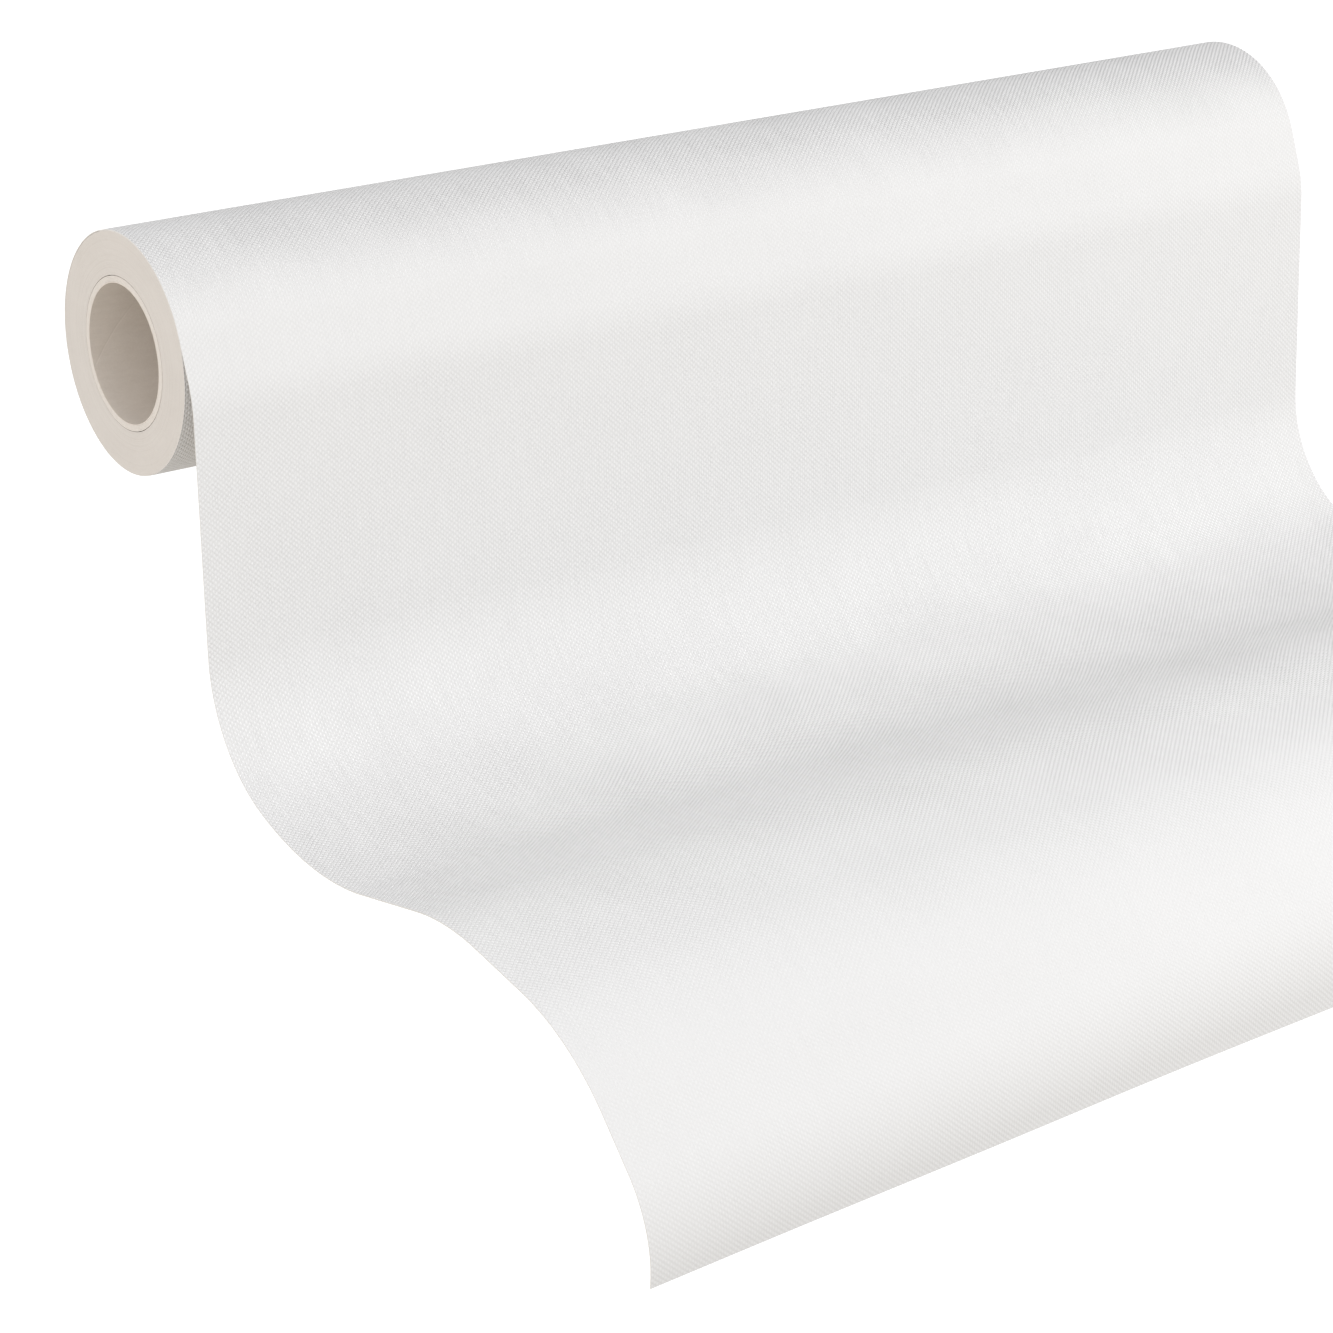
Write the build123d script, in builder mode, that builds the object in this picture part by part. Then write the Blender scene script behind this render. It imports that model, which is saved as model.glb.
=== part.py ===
"""Roll of heavy, linen-textured backdrop paper on a paperboard core, partly unrolled.

The roll's axis is X. Y runs backwards and Z runs up, and the origin is on the roll's axis at the
middle of its width. The paper comes off the front of the roll, hangs straight down behind a shallow
hollow, swells forward over a low crest and falls over a brow to its cut end.

The paper is one web. For its motion it is held as three lengths: the turns that spin with the core,
the outermost turn, and the length that has left the roll.
"""

import os
from math import acos, atan2, cos, degrees, hypot, pi, radians, sin, tan

from build123d import *

# ---------------------------------------------------------------- driving dimensions, mm

# Paper web
web_width = 530.0
web_thickness = 0.4

# Spiral-wound paperboard core: a 2 in bore, with its plies glued one round the other
bore_radius = 25.6
core_wall = 2.5
ply_count = 5
glue_film = 0.05

# Kraft tape that holds the inner end of the web to the core
tape_thickness = 0.15
tape_width = 38.0
tape_length = 500.0

# Wound roll
roll_radius = 44.6
lap_air_gap = 0.1
spin_clearance = 0.3

# Free length of web, as the corners of its path seen from its left edge: (Y, Z) from the roll's
# axis. The path is that of the face that shows. Bend radii are those at the corners between.
shoulder = (-49.5, -5.4)
heel = (-54.2, -135.0)
hollow = (-119.9, -161.2)
crest = (-206.3, -144.2)
brow = (-278.2, -157.7)
knee = (-324.4, -206.8)
cut_end = (-322.8, -228.2)
bend_radii = (45.0, 54.0, 117.0, 96.0, 85.0, 44.0)

# The right-hand edge swells higher than the left from the hollow on: (Y, Z) added to each corner
hollow_lift = (-11.3, 3.9)
crest_lift = (-1.7, 16.9)
brow_lift = (-7.7, 22.6)
knee_lift = (3.1, 32.2)
cut_end_lift = (3.8, 22.0)

# ---------------------------------------------------------------- sizes that follow

half_width = web_width / 2
core_radius = bore_radius + core_wall
ply_thickness = (core_wall - (ply_count - 1) * glue_film) / ply_count
ply_names = ["core_liner_ply"]
ply_names += [f"core_body_ply_{number}" for number in range(1, ply_count - 1)]
ply_names += ["core_outer_ply"]

tape_radius = core_radius + glue_film
wound_inner_radius = tape_radius + tape_thickness + glue_film

# The outermost turn steps in by one lap pitch over its full turn, and clears the turns inside it
lap_pitch = web_thickness + lap_air_gap
lap_arcs = 4
wound_outer_radius = roll_radius - lap_pitch - web_thickness - spin_clearance


def tangent_angle(point, radius):
    """Angle of the point on the roll from which a tangent line runs down to the given point."""
    distance = hypot(*point)
    return atan2(point[1], point[0]) - acos(radius / distance)


def on_circle(radius, angle):
    """Point at an angle, in radians from +Y towards +Z, on a circle round the roll's axis."""
    return Vector(radius * cos(angle), radius * sin(angle))


def lifted(corner, lift):
    """Corner moved by its lift."""
    return (corner[0] + lift[0], corner[1] + lift[1])


leaving_angle = tangent_angle(shoulder, roll_radius)
leaving_point = on_circle(roll_radius, leaving_angle)

left_path = [
    (leaving_point.X, leaving_point.Y),
    shoulder,
    heel,
    hollow,
    crest,
    brow,
    knee,
    cut_end,
]
right_path = left_path[:3] + [
    lifted(hollow, hollow_lift),
    lifted(crest, crest_lift),
    lifted(brow, brow_lift),
    lifted(knee, knee_lift),
    lifted(cut_end, cut_end_lift),
]


def turn_at(before, corner, after):
    """Turn of the path at a corner, in radians, positive to the left of its direction."""
    heading_in = atan2(corner[1] - before[1], corner[0] - before[0])
    heading_out = atan2(after[1] - corner[1], after[0] - corner[0])
    return (heading_out - heading_in + pi) % (2 * pi) - pi


def back_of(path, thickness):
    """Corners of the web's hidden face: the path moved by the thickness to its left."""
    corners = []
    for index, (y, z) in enumerate(path):
        y_in, z_in = path[max(index - 1, 0)]
        y_out, z_out = path[min(index + 1, len(path) - 1)]
        if index == 0:
            y_in, z_in = 2 * y - y_out, 2 * z - z_out
        if index == len(path) - 1:
            y_out, z_out = 2 * y - y_in, 2 * z - z_in
        turn = turn_at((y_in, z_in), (y, z), (y_out, z_out))
        heading = atan2(z - z_in, y - y_in) + turn / 2
        reach = thickness / cos(turn / 2)
        corners.append((y - reach * sin(heading), z + reach * cos(heading)))
    return corners


def back_radii(path, radii, thickness):
    """Bend radii of the hidden face: smaller where the path turns left, larger where right."""
    turns = [turn_at(*path[index : index + 3]) for index in range(len(radii))]
    return [r - thickness if turn > 0 else r + thickness for r, turn in zip(radii, turns)]


def web_section(plane, path):
    """Cross-section of the free web on a plane: its two faces joined at the ends."""
    back_path = back_of(path, web_thickness)
    with BuildSketch(plane) as section:
        with BuildLine():
            front = FilletPolyline(*path, radius=list(bend_radii))
            back = FilletPolyline(
                *back_path, radius=back_radii(path, bend_radii, web_thickness)
            )
            Line(front @ 0, back @ 0)
            Line(front @ 1, back @ 1)
        make_face()
    return section.sketch


os.makedirs("parts", exist_ok=True)
left_end = Plane.YZ.offset(-half_width)
right_end = Plane.YZ.offset(half_width)

# ---------------------------------------------------------------- core: plies, one tube each

for ply_number, ply_name in enumerate(ply_names):
    ply_inner_radius = bore_radius + ply_number * (ply_thickness + glue_film)
    with BuildPart() as core_ply:
        with BuildSketch(left_end):
            Circle(ply_inner_radius + ply_thickness)
            Circle(ply_inner_radius, mode=Mode.SUBTRACT)
        extrude(amount=web_width)
    core_ply.part.label = ply_name
    export_step(core_ply.part, f"parts/{ply_name}.step")

# ---------------------------------------------------------------- tape on the core's outside

tape_half_angle = degrees(tape_width / tape_radius) / 2
with BuildPart() as start_tape:
    with BuildSketch(Plane.YZ.offset(-tape_length / 2)):
        with BuildLine():
            tape_under = CenterArc((0, 0), tape_radius, 90 - tape_half_angle, 2 * tape_half_angle)
            tape_over = CenterArc(
                (0, 0), tape_radius + tape_thickness, 90 - tape_half_angle, 2 * tape_half_angle
            )
            Line(tape_under @ 0, tape_over @ 0)
            Line(tape_under @ 1, tape_over @ 1)
        make_face()
    extrude(amount=tape_length)
start_tape.part.label = "start_tape"
export_step(start_tape.part, "parts/start_tape.step")

# ---------------------------------------------------------------- turns that spin with the core

with BuildPart() as wound_turns:
    with BuildSketch(left_end):
        Circle(wound_outer_radius)
        Circle(wound_inner_radius, mode=Mode.SUBTRACT)
    extrude(amount=web_width)
wound_turns.part.label = "wound_turns"
export_step(wound_turns.part, "parts/wound_turns.step")


# ---------------------------------------------------------------- outermost turn


def spiral_turn(radius, pitch, start_angle):
    """One turn clockwise from the start angle, stepping in by the pitch, as tangent arcs.

    Each arc is a quarter turn whose radius is a quarter pitch smaller than the last, and whose
    centre is shifted so that the two meet in line.
    """
    centre = Vector(0, 0)
    step = pitch / lap_arcs
    sweep = 360 / lap_arcs
    arcs = []
    for number in range(lap_arcs):
        angle = degrees(start_angle) - number * sweep
        arcs.append(CenterArc((centre.X, centre.Y), radius - number * step, angle, -sweep))
        centre = centre + on_circle(step, radians(angle - sweep))
    return arcs


with BuildPart() as outer_turn:
    with BuildSketch(left_end):
        with BuildLine():
            lap_outside = spiral_turn(roll_radius, lap_pitch, leaving_angle)
            lap_inside = spiral_turn(roll_radius - web_thickness, lap_pitch, leaving_angle)
            Line(lap_outside[0] @ 0, lap_inside[0] @ 0)
            Line(lap_outside[-1] @ 1, lap_inside[-1] @ 1)
        make_face()
    extrude(amount=web_width)
outer_turn.part.label = "outer_turn"
export_step(outer_turn.part, "parts/outer_turn.step")

# ---------------------------------------------------------------- web that has left the roll

with BuildPart() as free_sheet:
    loft(
        sections=[web_section(left_end, left_path), web_section(right_end, right_path)],
        ruled=True,
    )
free_sheet.part.label = "free_sheet"
export_step(free_sheet.part, "parts/free_sheet.step")

# ---------------------------------------------------------------- figures to read


def path_length(path):
    """Length along a path with its bends rounded."""
    total = sum(hypot(b[0] - a[0], b[1] - a[1]) for a, b in zip(path, path[1:]))
    for index, radius in enumerate(bend_radii):
        turn = abs(turn_at(*path[index : index + 3]))
        total -= radius * (2 * tan(turn / 2) - turn)
    return total


wound_length = pi * (roll_radius**2 - wound_inner_radius**2) / web_thickness
print(f"sheet leaves the roll {degrees(leaving_angle):.1f} deg from +Y")
print(f"free length, left edge {path_length(left_path):.1f}, right edge {path_length(right_path):.1f}")
print(f"wound length about {wound_length / 1000:.2f} m")
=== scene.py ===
"""Textured backdrop paper on a hollow paperboard core, part unrolled over a soft swell.

Three made pieces stand round the core's plies. The web is one sheet: its outermost turn round the
roll and the length that has left it. The wound turns are a stack of paper edges seen end on. The core
liner is a tube with the spiral seam of its ply.
"""

from math import atan2, cos, pi, radians, sin, tan

import bpy
import numpy as np
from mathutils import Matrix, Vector


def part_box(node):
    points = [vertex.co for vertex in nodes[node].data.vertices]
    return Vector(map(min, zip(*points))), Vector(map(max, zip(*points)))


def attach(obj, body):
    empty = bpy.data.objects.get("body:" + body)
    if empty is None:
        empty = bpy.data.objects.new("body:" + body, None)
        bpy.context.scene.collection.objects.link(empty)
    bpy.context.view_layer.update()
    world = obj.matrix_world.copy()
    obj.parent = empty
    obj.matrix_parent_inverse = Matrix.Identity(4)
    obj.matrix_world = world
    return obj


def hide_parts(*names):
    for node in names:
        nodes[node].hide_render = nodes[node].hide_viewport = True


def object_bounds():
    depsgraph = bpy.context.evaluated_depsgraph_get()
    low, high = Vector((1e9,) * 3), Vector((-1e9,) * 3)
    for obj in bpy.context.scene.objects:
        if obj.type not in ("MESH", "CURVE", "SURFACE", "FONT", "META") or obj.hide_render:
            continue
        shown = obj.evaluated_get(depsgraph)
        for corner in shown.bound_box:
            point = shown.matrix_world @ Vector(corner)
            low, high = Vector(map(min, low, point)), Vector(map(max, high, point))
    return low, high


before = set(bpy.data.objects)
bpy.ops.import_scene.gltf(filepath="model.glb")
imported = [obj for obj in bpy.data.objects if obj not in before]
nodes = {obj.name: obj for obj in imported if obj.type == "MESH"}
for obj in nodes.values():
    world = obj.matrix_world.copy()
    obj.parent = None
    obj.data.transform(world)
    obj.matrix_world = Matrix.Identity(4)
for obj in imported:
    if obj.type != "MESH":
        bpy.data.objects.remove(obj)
cad_box = [list(corner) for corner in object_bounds()]

# ---------------------------------------------------------------- sizes, in metres

half_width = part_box("outer_turn")[1].x
liner_low, liner_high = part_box("core_liner_ply")
bore_radius = 0.0256
tape_outside_radius = 0.0283
tape_gap = 0.00001
wound_radius = 0.0441
spin_gap = 0.00004
roll_radius = 0.0446
web_thickness = 0.0004
lap_pitch = 0.0004

# The free length's corners seen from the left edge, back to front, and the bend radius at each
shoulder = (-0.0495, -0.0054)
heel = (-0.0542, -0.1350)
hollow = (-0.1199, -0.1612)
crest = (-0.2063, -0.1442)
brow = (-0.2782, -0.1577)
knee = (-0.3244, -0.2068)
cut_end = (-0.3228, -0.2282)
bend_radii = (0.045, 0.054, 0.117, 0.096, 0.085, 0.044)

# What the right edge adds to those corners
right_lifts = {
    "hollow": (-0.0113, 0.0039),
    "crest": (-0.0017, 0.0169),
    "brow": (-0.0077, 0.0226),
    "knee": (0.0031, 0.0322),
    "cut_end": (0.0038, 0.0220),
}

# Plain weave pressed into the face: distance from thread to thread across and along the web
warp_pitch = 0.001075
weft_pitch = 0.0010

# Length over which the weave's depth and its painted groove shade are set, the whole web to within 3 mm
weave_length = 0.735


# ---------------------------------------------------------------- the web's path

def heading_of(a, b):
    """Direction from one point to another, in radians from +Y towards +Z."""
    return atan2(b[1] - a[1], b[0] - a[0])


def leaving_angle():
    """Angle on the roll from which a tangent line runs down to the shoulder."""
    distance = np.hypot(*shoulder)
    return atan2(shoulder[1], shoulder[0]) - np.arccos(roll_radius / distance)


def lap_pieces():
    """Pieces (length, curvature) of the outermost turn: four quarter arcs that open outwards.

    Each quarter's radius is a quarter of the lap pitch larger than the last.
    """
    radii = roll_radius - lap_pitch * np.array([0.75, 0.5, 0.25, 0.0])
    return [(radius * pi / 2, 1 / radius) for radius in radii]


def free_pieces(corners):
    """Pieces (length, curvature) of straight runs joined by tangent arcs at the corners.

    An arc of radius r that turns by t takes r tan(t/2) from the run on each side of its corner.
    """
    pieces = []
    spent = 0.0
    for index, radius in enumerate(bend_radii):
        before, corner, after = corners[index : index + 3]
        turn = (heading_of(corner, after) - heading_of(before, corner) + pi) % (2 * pi) - pi
        reach = radius * tan(abs(turn) / 2)
        run = np.hypot(corner[0] - before[0], corner[1] - before[1])
        pieces.append((run - spent - reach, 0.0))
        pieces.append((radius * abs(turn), np.sign(turn) / radius))
        spent = reach
    last = np.hypot(corners[-1][0] - corners[-2][0], corners[-1][1] - corners[-2][1])
    pieces.append((last - spent, 0.0))
    return pieces


def web_corners(lifts):
    """Corners of the free length from the roll to the cut end, each moved by its lift if it has one."""
    angle = leaving_angle()
    names = ("shoulder", "heel", "hollow", "crest", "brow", "knee", "cut_end")
    places = (shoulder, heel, hollow, crest, brow, knee, cut_end)
    moved = [
        (place[0] + lifts.get(name, (0, 0))[0], place[1] + lifts.get(name, (0, 0))[1])
        for name, place in zip(names, places)
    ]
    return [(roll_radius * cos(angle), roll_radius * sin(angle))] + moved


def chain(pieces, start, heading, piece, share):
    """Points and headings along a chain of arcs and straight runs, as arrays.

    A piece of length d and curvature k that sets out at heading h ends a chord away, whose length is
    d sinc(kd/2) and whose heading is h + kd/2. piece says which piece each sample is on, and share
    how far along it, from 0 to 1.
    """
    lengths, bends = np.array(pieces).T
    headings = heading + np.concatenate([[0], np.cumsum(lengths * bends)])

    def step(index, distance):
        half_turn = bends[index] * distance / 2
        chord = distance * np.sinc(half_turn / pi)
        way = headings[index] + half_turn
        return np.stack([chord * np.cos(way), chord * np.sin(way)], axis=-1)

    whole = step(np.arange(len(lengths)), lengths)
    starts = np.array(start) + np.concatenate([[[0, 0]], np.cumsum(whole, axis=0)])
    distance = share * lengths[piece]
    points = starts[piece] + step(piece, distance)
    return points, headings[piece] + bends[piece] * distance, distance


def web_edges(spacing):
    """The web's left and right edges sampled alike: points, normals and distance along the web."""
    angle = leaving_angle()
    first = (roll_radius - lap_pitch) * np.array([cos(angle), sin(angle)])
    edges = []
    for lifts in ({}, right_lifts):
        edges.append(lap_pieces() + free_pieces(web_corners(lifts)))
    lengths = np.array(edges[0])[:, 0]
    counts = np.maximum(2, np.ceil(lengths / spacing)).astype(int)
    piece = np.repeat(np.arange(len(counts)), counts)
    share = np.concatenate([np.arange(count) / count for count in counts])
    piece, share = np.append(piece, len(counts) - 1), np.append(share, 1.0)
    sampled = []
    for pieces in edges:
        points, headings, distance = chain(pieces, first, angle + pi / 2, piece, share)
        normals = np.stack([np.sin(headings), -np.cos(headings)], axis=-1)
        starts = np.concatenate([[0], np.cumsum(np.array(pieces)[:, 0])])
        sampled.append((points, normals, starts[piece] + distance))
    return sampled


# ---------------------------------------------------------------- mesh from arrays

def grid_faces(rows, columns, first=0, wrap_rows=False, wrap_columns=False, flip=False):
    """Quads of a grid of points numbered row by row."""
    index = np.arange(rows * columns).reshape(rows, columns) + first
    if wrap_rows:
        index = np.concatenate([index, index[:1]], axis=0)
    if wrap_columns:
        index = np.concatenate([index, index[:, :1]], axis=1)
    quads = np.stack([index[:-1, :-1], index[1:, :-1], index[1:, 1:], index[:-1, 1:]], axis=-1)
    quads = quads.reshape(-1, 4)
    return quads[:, ::-1] if flip else quads


def make_piece(name, points, quads, materials, material_index, uv=None):
    """A mesh object at the origin from arrays of points and quads, smooth, with one UV per point."""
    mesh = bpy.data.meshes.new(name)
    mesh.vertices.add(len(points))
    mesh.vertices.foreach_set("co", np.ascontiguousarray(points, np.float32).ravel())
    mesh.loops.add(quads.size)
    mesh.loops.foreach_set("vertex_index", np.ascontiguousarray(quads, np.int32).ravel())
    mesh.polygons.add(len(quads))
    mesh.polygons.foreach_set("loop_start", np.arange(0, quads.size, 4, dtype=np.int32))
    mesh.polygons.foreach_set("material_index", np.asarray(material_index, np.int32))
    for material in materials:
        mesh.materials.append(material)
    mesh.update(calc_edges=True)
    if uv is not None:
        layer = mesh.uv_layers.new(name="cloth")
        layer.data.foreach_set("uv", np.ascontiguousarray(uv[quads.ravel()], np.float32).ravel())
    mesh.shade_smooth()
    mesh.set_sharp_from_angle(angle=radians(40))
    piece = bpy.data.objects.new(name, mesh)
    bpy.context.scene.collection.objects.link(piece)
    return piece


# ---------------------------------------------------------------- materials

class Nodes:
    """Short calls for building a material's node tree."""

    def __init__(self, name):
        self.material = bpy.data.materials.new(name)
        self.material.use_nodes = True
        self.tree = self.material.node_tree
        self.tree.nodes.clear()
        self.output = self.add("ShaderNodeOutputMaterial")
        self.shader = self.add("ShaderNodeBsdfPrincipled")
        self.join(self.shader.outputs["BSDF"], self.output.inputs["Surface"])

    def add(self, kind, **settings):
        node = self.tree.nodes.new(kind)
        for key, value in settings.items():
            setattr(node, key, value)
        return node

    def join(self, source, target):
        self.tree.links.new(source, target)

    def feed(self, value, target):
        if isinstance(value, bpy.types.NodeSocket):
            self.join(value, target)
        else:
            target.default_value = value

    def math(self, operation, first, second=0.0, third=0.0):
        node = self.add("ShaderNodeMath", operation=operation)
        for value, target in zip((first, second, third), node.inputs):
            self.feed(value, target)
        return node.outputs[0]

    def uv(self):
        """The piece's own two distances, across and along, in metres."""
        source = self.add("ShaderNodeUVMap", uv_map="cloth")
        split = self.add("ShaderNodeSeparateXYZ")
        self.join(source.outputs[0], split.inputs[0])
        return source.outputs[0], split.outputs[0], split.outputs[1]

    def place(self):
        """Object coordinates, whole and split."""
        source = self.add("ShaderNodeTexCoord").outputs["Object"]
        split = self.add("ShaderNodeSeparateXYZ")
        self.join(source, split.inputs[0])
        return source, split.outputs[0], split.outputs[1], split.outputs[2]

    def noise(self, vector, scale, detail=3.0, roughness=0.5, stretch=None):
        if stretch is not None:
            mapping = self.add("ShaderNodeMapping")
            self.join(vector, mapping.inputs["Vector"])
            mapping.inputs["Scale"].default_value = stretch
            vector = mapping.outputs[0]
        node = self.add("ShaderNodeTexNoise")
        self.join(vector, node.inputs["Vector"])
        node.inputs["Scale"].default_value = scale
        node.inputs["Detail"].default_value = detail
        node.inputs["Roughness"].default_value = roughness
        return node.outputs["Fac"]

    def ramp(self, factor, *stops):
        """A colour along a factor: stops are (place, (r, g, b))."""
        node = self.add("ShaderNodeValToRGB")
        self.join(factor, node.inputs[0])
        elements = node.color_ramp.elements
        while len(elements) < len(stops):
            elements.new(0.5)
        for element, (place, colour) in zip(elements, stops):
            element.position = place
            element.color = (*colour, 1.0)
        return node.outputs[0]

    def level(self, factor, *stops):
        """A plain number along a factor: stops are (place, number)."""
        return self.ramp(factor, *((place, (number, number, number)) for place, number in stops))

    def bump(self, height, depth):
        node = self.add("ShaderNodeBump")
        self.join(height, node.inputs["Height"])
        node.inputs["Distance"].default_value = depth
        node.inputs["Strength"].default_value = 1.0
        self.join(node.outputs[0], self.shader.inputs["Normal"])

    def finish(self, colour, roughness, specular=0.5):
        self.feed(colour, self.shader.inputs["Base Color"])
        self.feed(roughness, self.shader.inputs["Roughness"])
        self.shader.inputs["Specular IOR Level"].default_value = specular
        return self.material


def weave_height(n, vector, across, along):
    """Height of a plain weave, from 0 to 1: each thread passes over one neighbour and under the next.

    cos(pi a) cos(pi b) is high where a thread along the web is on top and low where it dips, with a
    and b counted in threads. Threads wander sideways by a fraction of their pitch.
    """
    wander = n.math("MULTIPLY_ADD", n.noise(vector, 55.0, 2.0, 0.5, (1.0, 0.35, 1.0)), 0.25, -0.125)
    warp = n.math("ADD", n.math("MULTIPLY", across, pi / warp_pitch), n.math("MULTIPLY", wander, pi))
    weft = n.math("ADD", n.math("MULTIPLY", along, pi / weft_pitch), n.math("MULTIPLY", wander, -2.0))
    crossing = n.math("MULTIPLY", n.math("COSINE", warp), n.math("COSINE", weft))
    backs = n.math("COSINE", n.math("MULTIPLY", warp, 2.0))
    height = n.math("MULTIPLY_ADD", crossing, 0.36, 0.5)
    return n.math("MULTIPLY_ADD", backs, 0.14, height)


def embossed_face():
    """White matt face with the weave pressed in, deeper in some threads and places than others.

    Along the web, from the tail round the roll to the cut end, the weave is pressed deeper on top of
    the roll, nearly fades down the hanging face, comes back in the hollow and fades towards the end.
    Its grooves are painted darker in the same places, as painted shade, and there the face is also
    painted a little lighter overall, as a painted highlight.
    """
    n = Nodes("embossed_white_face")
    vector, across, along = n.uv()
    height = weave_height(n, vector, across, along)
    threads = n.noise(vector, 620.0, 1.0, 0.5, (1.0, 0.07, 1.0))
    slub = n.noise(vector, 480.0, 2.0, 0.6, (1.0, 0.45, 1.0))
    patch = n.noise(vector, 26.0, 2.0)
    depth = n.math("MULTIPLY_ADD", patch, 0.6, n.math("MULTIPLY_ADD", threads, 0.5, 0.45))
    share = n.math("DIVIDE", along, weave_length)
    press = n.level(
        share,
        (0.0, 0.28), (0.12, 0.28), (0.22, 0.74), (0.33, 0.74), (0.375, 0.20), (0.54, 0.28),
        (0.62, 0.55), (0.72, 0.62), (0.80, 0.50), (0.90, 0.20), (1.0, 0.16),
    )
    depth = n.math("MULTIPLY", depth, press)
    pressed = n.math("MULTIPLY_ADD", slub, 0.04, n.math("MULTIPLY", height, depth))
    # Painted shade: how strongly the weave's grooves are painted darker at each place along the web,
    # strongest on top of the roll and in the hollow
    painted_groove_shade = n.level(
        share,
        (0.0, 0.28), (0.12, 0.28), (0.22, 1.0), (0.33, 1.0), (0.375, 0.24), (0.54, 0.45),
        (0.60, 1.0), (0.72, 1.0), (0.80, 0.55), (0.90, 0.20), (1.0, 0.16),
    )
    # Painted shade and painted light: grooves are painted darker, and the 0.38 offset paints the face
    # lighter where the groove shade is strong
    shade = n.math("MULTIPLY_ADD", n.math("SUBTRACT", height, 0.38), painted_groove_shade, 0.5)
    tone = n.ramp(shade, (0.0, (0.578, 0.572, 0.567)), (1.0, (0.905, 0.902, 0.90)))
    n.bump(pressed, 0.0011)
    return n.finish(tone, 0.62, 0.3)


def plain_back():
    """Smooth cream back with short paper fibres and a ghost of the weave."""
    n = Nodes("plain_paper_back")
    vector, across, along = n.uv()
    fibre = n.noise(vector, 900.0, 4.0, 0.6, (1.0, 0.35, 1.0))
    cloud = n.noise(vector, 30.0, 3.0)
    height = n.math("MULTIPLY_ADD", weave_height(n, vector, across, along), -0.25, fibre)
    mixed = n.math("MULTIPLY_ADD", cloud, 0.6, n.math("MULTIPLY", fibre, 0.4))
    tone = n.ramp(mixed, (0.25, (0.69, 0.635, 0.565)), (0.75, (0.75, 0.695, 0.625)))
    n.bump(height, 0.00006)
    return n.finish(tone, 0.85, 0.2)


def cut_edge():
    """Cream paper stock seen where it is cut, with fibres along the cut."""
    n = Nodes("cream_cut_edge")
    vector = n.place()[0]
    fibre = n.noise(vector, 2500.0, 3.0, 0.6)
    tone = n.ramp(fibre, (0.3, (0.72, 0.69, 0.65)), (0.7, (0.78, 0.75, 0.71)))
    n.bump(fibre, 0.00005)
    return n.finish(tone, 0.9, 0.15)


def stacked_edges():
    """Cut edges of the turns, one spiral line per thickness of web, cream with faint grey bands."""
    n = Nodes("stacked_paper_edges")
    vector, _, y, z = n.place()
    radius = n.math("SQRT", n.math("ADD", n.math("MULTIPLY", y, y), n.math("MULTIPLY", z, z)))
    angle = n.math("ARCTAN2", z, y)
    whole_turns = n.math("DIVIDE", radius, web_thickness)
    turns = n.math("SUBTRACT", whole_turns, n.math("DIVIDE", angle, 2 * pi))
    ripple = n.math("COSINE", n.math("MULTIPLY", turns, 2 * pi))
    line = n.math("POWER", n.math("MULTIPLY_ADD", ripple, 0.5, 0.5), 3.0)
    bands = n.add("ShaderNodeTexNoise", noise_dimensions="1D")
    n.join(n.math("MULTIPLY", n.math("FLOOR", turns), 0.37), bands.inputs["W"])
    bands.inputs["Scale"].default_value = 1.7
    fibre = n.noise(vector, 1500.0, 3.0, 0.6)
    patch = n.noise(vector, 45.0, 3.0)
    shade = n.math("MULTIPLY_ADD", bands.outputs["Fac"], 0.45, n.math("MULTIPLY", patch, 0.35))
    shade = n.math("MULTIPLY_ADD", fibre, 0.2, shade)
    shade = n.math("MULTIPLY_ADD", line, -0.16, shade)
    tone = n.ramp(
        shade,
        (0.1, (0.66, 0.605, 0.55)),
        (0.45, (0.745, 0.693, 0.64)),
        (0.8, (0.78, 0.73, 0.68)),
    )
    height = n.math("MULTIPLY_ADD", fibre, 0.3, n.math("MULTIPLY", line, -1.0))
    n.bump(height, 0.00008)
    return n.finish(tone, 0.88, 0.2)


def paperboard(name, dark, light):
    """Grey-beige board with long fibres round the tube and a few darker flecks."""
    n = Nodes(name)
    vector = n.place()[0]
    fibre = n.noise(vector, 420.0, 5.0, 0.65, (0.3, 1.0, 1.0))
    fleck = n.noise(vector, 1300.0, 2.0, 0.5)
    shade = n.math("MULTIPLY_ADD", fleck, 0.35, n.math("MULTIPLY", fibre, 0.65))
    tone = n.ramp(shade, (0.3, dark), (0.7, light))
    n.bump(shade, 0.00008)
    return n.finish(tone, 0.9, 0.15)


def kraft():
    """Brown kraft tape with fibres along its length."""
    n = Nodes("kraft_tape")
    vector = n.place()[0]
    fibre = n.noise(vector, 700.0, 4.0, 0.6, (0.2, 1.0, 1.0))
    tone = n.ramp(fibre, (0.3, (0.36, 0.24, 0.14)), (0.7, (0.47, 0.34, 0.21)))
    n.bump(fibre, 0.00003)
    return n.finish(tone, 0.7, 0.3)


# ---------------------------------------------------------------- the web

def flutter(across, along):
    """Small waves of a sheet that hangs free, in metres along its normal.

    Two long sines across the width, at a slant, that fade in from where the sheet leaves the roll.
    """
    still_length, fade_length = 0.03, 0.12
    free = np.clip((along - 2 * pi * roll_radius - still_length) / fade_length, 0, 1)
    fade = free * free * (3 - 2 * free)
    slow = np.sin(2 * pi * (across / 0.41 + along / 0.9) + 0.6)
    quick = np.sin(2 * pi * (across / 0.173 - along / 0.31) + 2.1)
    return fade * (0.00035 * slow + 0.00018 * quick)


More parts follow.
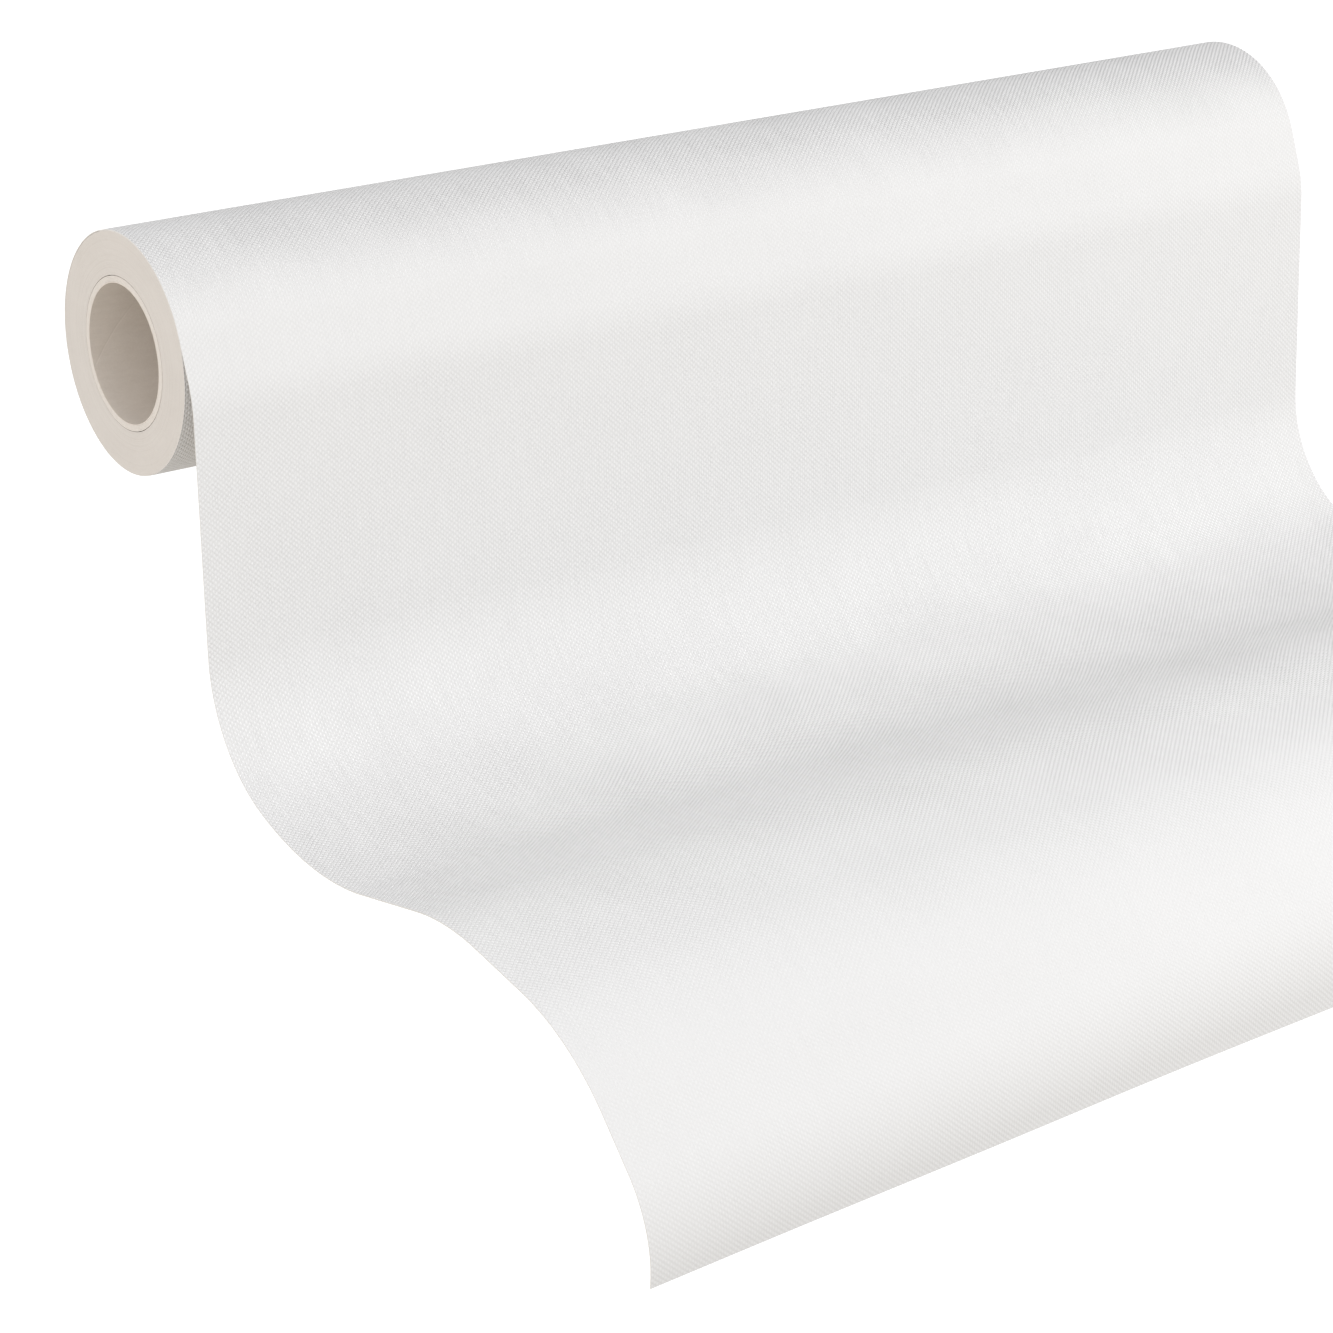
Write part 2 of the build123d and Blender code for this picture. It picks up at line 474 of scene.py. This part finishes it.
def stock(along):
    """Thickness of the web, in metres.

    Round the roll the tail is feathered, in a step to each quarter turn, so that the back keeps
    within 0.15 mm of the turns beneath while the face opens out by one lap. In places it dips up to
    0.06 mm into them, out of sight. Past the roll it is the full thickness.
    """
    lap_length = sum(length for length, bend in lap_pieces())
    opened = np.clip(along / lap_length, 0, 1)
    round_roll = roll_radius - wound_radius - spin_gap - lap_pitch * (1 - np.ceil(opened * 4) / 4)
    blend_length = 0.02
    past = np.clip((along - lap_length) / blend_length, 0, 1)
    return round_roll + (web_thickness - round_roll) * past


def make_web():
    """Closed sheet between the ruled front surface and the same surface moved in by the thickness.

    A point of the front is (1 - u) left edge + u right edge, for u from 0 to 1 across the width.
    """
    spacing, columns = 0.0018, 65
    (left, left_normal, left_along), (right, right_normal, right_along) = web_edges(spacing)
    rows = len(left)
    share = np.linspace(0, 1, columns)[None, :, None]
    profile = (1 - share) * left[:, None, :] + share * right[:, None, :]
    normal = (1 - share) * left_normal[:, None, :] + share * right_normal[:, None, :]
    normal /= np.linalg.norm(normal, axis=-1, keepdims=True)
    along = (1 - share[..., 0]) * left_along[:, None] + share[..., 0] * right_along[:, None]
    across = np.broadcast_to(np.linspace(-half_width, half_width, columns), (rows, columns))
    front = profile + normal * flutter(across, along)[..., None]
    back = front - normal * stock(left_along)[:, None, None]
    points = []
    for face in (front, back):
        points.append(np.concatenate([across[..., None], face], axis=-1).reshape(-1, 3))
    points = np.concatenate(points)
    index = np.arange(rows * columns).reshape(rows, columns)
    rim = np.concatenate([index[:, 0], index[-1, 1:], index[-2::-1, -1], index[0, -2:0:-1]])
    after = np.roll(rim, -1)
    other = rows * columns
    side = np.stack([rim, rim + other, after + other, after], axis=-1)
    faces_front = grid_faces(rows, columns, flip=True)
    faces_back = grid_faces(rows, columns, first=other)
    quads = np.concatenate([faces_front, faces_back, side])
    kinds = np.repeat([0, 1, 2], [len(faces_front), len(faces_back), len(side)])
    uv = np.tile(np.stack([across, along], axis=-1).reshape(-1, 2), (2, 1))
    web = make_piece("paper_web", points, quads, [embossed_face(), plain_back(), cut_edge()], kinds, uv)
    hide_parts("outer_turn", "free_sheet")
    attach(web, "sheet")
    return web


# ---------------------------------------------------------------- the wound turns

def edge_stand(radius, angle):
    """How far each turn's edge stands back from the roll's end, in metres.

    Turns wander sideways by a few hundredths of a millimetre, as slow waves in the turn number.
    """
    turn = radius / web_thickness - angle / (2 * pi)
    wander = np.sin(turn * 0.9) + 0.6 * np.sin(turn * 2.3 + 1.0) + 0.5 * np.sin(turn * 0.31 + 2.0)
    nip = (0.5 + 0.5 * np.cos(2 * pi * turn)) ** 6
    return 0.000012 * (2.1 + wander) + 0.00002 * nip


def make_wound_turns():
    """Ring of turns: a closed profile of bore, end, outside and end, carried round the axis."""
    inner = tape_outside_radius + tape_gap
    outer = wound_radius
    around = 288
    radial = np.linspace(inner, outer, 3 * int((outer - inner) / web_thickness) + 1)
    length = np.linspace(-half_width, half_width, 40)[1:-1]
    counts = [len(radial), len(length)] * 2
    outside, bore = np.full(len(length), outer), np.full(len(length), inner)
    radius = np.concatenate([radial, outside, radial[::-1], bore])
    left_end, right_end = np.full(len(radial), -half_width), np.full(len(radial), half_width)
    axial = np.concatenate([left_end, length, right_end, length[::-1]])
    end = np.repeat([1.0, 0.0, -1.0, 0.0], counts)
    angle = np.linspace(-pi, pi, around, endpoint=False)
    radius_grid, angle_grid = np.meshgrid(radius, angle, indexing="ij")
    x = axial[:, None] + end[:, None] * edge_stand(radius_grid, angle_grid)
    points = np.stack([x, radius_grid * np.cos(angle_grid), radius_grid * np.sin(angle_grid)], axis=-1)
    quads = grid_faces(len(radius), around, wrap_rows=True, wrap_columns=True, flip=True)
    kinds = np.zeros(len(quads), int)
    turns = make_piece("paper_turns", points.reshape(-1, 3), quads, [stacked_edges()], kinds)
    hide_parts("wound_turns")
    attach(turns, "roll")
    return turns


# ---------------------------------------------------------------- the core liner

def make_liner():
    """Tube whose seam runs as a helix: the grid is twisted by one turn per seam pitch.

    With a the share of a turn from the seam and x along the axis, the angle is
    2 pi (a + x / pitch), and the bore's radius is wider by the seam's depth where a is near 0.
    """
    outside = (liner_high.z - liner_low.z) / 2
    seam_depth = 0.00004
    seam_pitch = 0.128
    seam_half_share = 0.0018
    fine = seam_half_share * np.array([-3.0, -1.0, -0.6, 0.0, 0.6, 1.0, 3.0])
    turn_share = np.concatenate([fine, np.linspace(0.015, 0.985, 130)])
    axial = np.linspace(-half_width, half_width, 96)
    open_seam = np.clip(1.2 - np.abs(turn_share) / seam_half_share, 0, 1)
    share_grid, x_grid = np.meshgrid(turn_share, axial, indexing="ij")
    angle = 2 * pi * (share_grid + x_grid / seam_pitch)
    inner = np.broadcast_to(bore_radius + seam_depth * open_seam[:, None], angle.shape)
    outer = np.full_like(inner, outside)
    points = []
    for radius in (inner, outer):
        tube = np.stack([x_grid, radius * np.cos(angle), radius * np.sin(angle)], axis=-1)
        points.append(tube.reshape(-1, 3))
    rows, columns = share_grid.shape
    other = rows * columns
    index = np.arange(other).reshape(rows, columns)
    rims = []
    for column, flip in ((0, False), (columns - 1, True)):
        here = index[:, column]
        after = np.roll(here, -1)
        quad = np.stack([here, after, after + other, here + other], axis=-1)
        rims.append(quad[:, ::-1] if flip else quad)
    quads = np.concatenate([
        grid_faces(rows, columns, wrap_rows=True),
        grid_faces(rows, columns, first=other, wrap_rows=True, flip=True),
        *rims,
    ])
    board = paperboard("liner_board", (0.73, 0.662, 0.59), (0.80, 0.735, 0.665))
    kinds = np.zeros(len(quads), int)
    liner = make_piece("core_liner", np.concatenate(points), quads, [board], kinds)
    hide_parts("core_liner_ply")
    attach(liner, "roll")
    return liner


def finish_cad_nodes():
    """Board and kraft paper for the plies and the tape, whose shapes are right as they are."""
    board = paperboard("ply_board", (0.73, 0.672, 0.61), (0.79, 0.735, 0.675))
    plies = [name for name in nodes if name.startswith("core_") and name != "core_liner_ply"]
    finishes = dict.fromkeys(plies, board)
    finishes["start_tape"] = kraft()
    for name, material in finishes.items():
        nodes[name].data.materials.clear()
        nodes[name].data.materials.append(material)


# ---------------------------------------------------------------- floor, light and camera

def make_floor():
    """White floor, well below the hanging end, that sweeps up all round into a studio cove.

    Its height over the distance r from the middle is 0 out to 4 m and 0.06 (r - 4)^2 beyond.
    """
    reach, flat, steepness, drop = 24.0, 4.0, 0.06, 1.00
    steps = 81
    line = np.linspace(-reach, reach, steps)
    x, y = np.meshgrid(line, line, indexing="ij")
    rise = steepness * np.maximum(np.hypot(x, y) - flat, 0) ** 2
    points = np.stack([x, y, cad_box[0][2] - drop + rise], axis=-1).reshape(-1, 3)
    quads = grid_faces(steps, steps)
    n = Nodes("pale_floor")
    n.shader.inputs["Emission Color"].default_value = (1.0, 1.0, 1.0, 1.0)
    n.shader.inputs["Emission Strength"].default_value = 0.36
    white = n.finish((0.97, 0.97, 0.97, 1.0), 0.9, 0.0)
    floor = make_piece("studio_floor", points, quads, [white], np.zeros(len(quads), int))
    floor.visible_diffuse = False
    floor.visible_glossy = False
    floor.visible_shadow = False


def place_light(data, turn, rise, distance):
    """Aim a light at the sheet from a turn right of straight ahead and a rise, in degrees."""
    turn, rise = radians(turn), radians(rise)
    away = Vector((sin(turn) * cos(rise), -cos(turn) * cos(rise), sin(rise)))
    middle_of_sheet = Vector((0.0, -0.1, -0.05))
    lamp = bpy.data.objects.new(data.name, data)
    lamp.location = middle_of_sheet + away * distance
    lamp.rotation_euler = (-away).to_track_quat("-Z", "Y").to_euler()
    lamp.visible_camera = False
    bpy.context.scene.collection.objects.link(lamp)


def softbox(name, turn, rise, size, watts):
    """Square softbox 1.2 m from the sheet, its size in metres."""
    data = bpy.data.lights.new(name, "AREA")
    data.shape = "SQUARE"
    data.size = size
    data.energy = watts
    place_light(data, turn, rise, 1.2)


def make_light():
    """Even surroundings, warmer from below, a broad light from above and a softbox on each side."""
    above, below = (0.679, 0.679, 0.684), (0.75, 0.727, 0.69)
    world = bpy.data.worlds.new("studio")
    bpy.context.scene.world = world
    world.use_nodes = True
    tree = world.node_tree
    background = tree.nodes["Background"]
    direction = tree.nodes.new("ShaderNodeTexCoord")
    split = tree.nodes.new("ShaderNodeSeparateXYZ")
    ramp = tree.nodes.new("ShaderNodeValToRGB")
    tree.links.new(direction.outputs["Generated"], split.inputs[0])
    tree.links.new(split.outputs[2], ramp.inputs[0])
    tree.links.new(ramp.outputs[0], background.inputs["Color"])
    ramp.color_ramp.interpolation = "CONSTANT"
    ramp.color_ramp.elements[0].color = (*below, 1.0)
    ramp.color_ramp.elements[1].color = (*above, 1.0)
    ramp.color_ramp.elements[0].position = 0.0
    ramp.color_ramp.elements[1].position = 0.001
    key = bpy.data.lights.new("overhead", "SUN")
    key.energy = 0.65
    key.angle = radians(30)
    place_light(key, 20, 60, 3.0)
    softbox("right_softbox", 35, 20, 0.8, 5.15)
    softbox("left_softbox", -80, 15, 0.8, 3.75)
    bpy.context.scene.view_settings.view_transform = "Standard"


def make_camera():
    """Long lens from the front left and above, held in roll radii from the centre of the left end."""
    data = bpy.data.cameras.new("camera")
    data.sensor_width = 36.0
    data.lens = 108.03
    camera = bpy.data.objects.new("camera", data)
    bpy.context.scene.collection.objects.link(camera)
    away = np.array([-14.344, -27.462, 9.192]) * roll_radius
    camera.location = (away[0] - half_width, away[1], away[2])
    camera.rotation_euler = (radians(90 - 21.149), 0, radians(-35.619))
    bpy.context.scene.camera = camera


make_camera()
make_web()
make_wound_turns()
make_liner()
finish_cad_nodes()
make_floor()
make_light()
